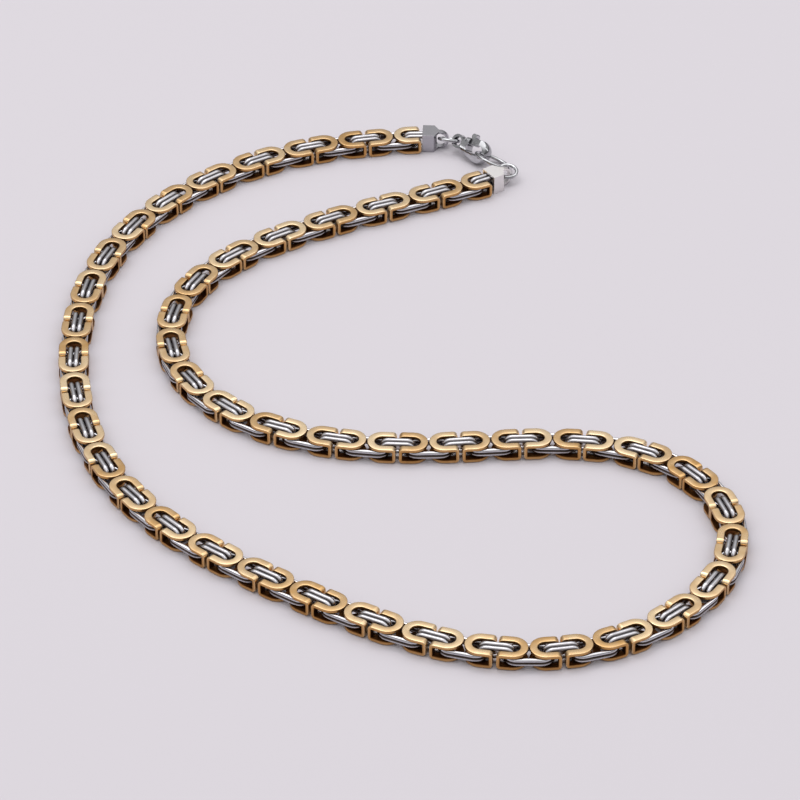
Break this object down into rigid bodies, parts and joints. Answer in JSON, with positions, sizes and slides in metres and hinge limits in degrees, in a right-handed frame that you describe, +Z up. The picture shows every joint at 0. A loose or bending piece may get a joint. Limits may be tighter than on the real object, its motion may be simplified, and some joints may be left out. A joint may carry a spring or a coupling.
{
  "type": "two-tone byzantine chain necklace with a lobster clasp",
  "caption": "Flat byzantine necklace: folded strip links joined by pairs of wire rings, folded end caps, jump rings and a lobster clasp, laid out in an S-shaped loop.",
  "frame": {"origin": "on the surface it lies on, under the middle of its bounding box", "axes": "+Z up, through the flat of the chain; +Y along the longer side of the loop, towards the clasp"},
  "size_m": [0.1356, 0.1813, 0.0056],
  "materials": {
    "gold": "polished gold plate with satin faces",
    "steel": "polished"
  },
  "bodies": {
    "necklace": {"folded_links": "gold", "upright_rings": "steel", "flat_rings": "steel", "clasp_cap": "steel", "ring_cap": "steel", "clasp_ring": "steel", "end_ring": "steel", "closing_ring": "steel", "clasp_body": "steel", "lever_pin": "steel"},
    "lever": {"clasp_lever": "steel"}
  },
  "joints": [
    {"name": "lever_pivot", "type": "hinge", "parent": "necklace", "child": "lever", "pos_m": [0.01648, 0.08405, 0.00342], "axis": [-0.5765, -0.5819, 0.5736], "range_deg": [-20, 0], "stiffness_Nm_per_rad": 0.0002, "springref_deg": 5.73}
  ]
}
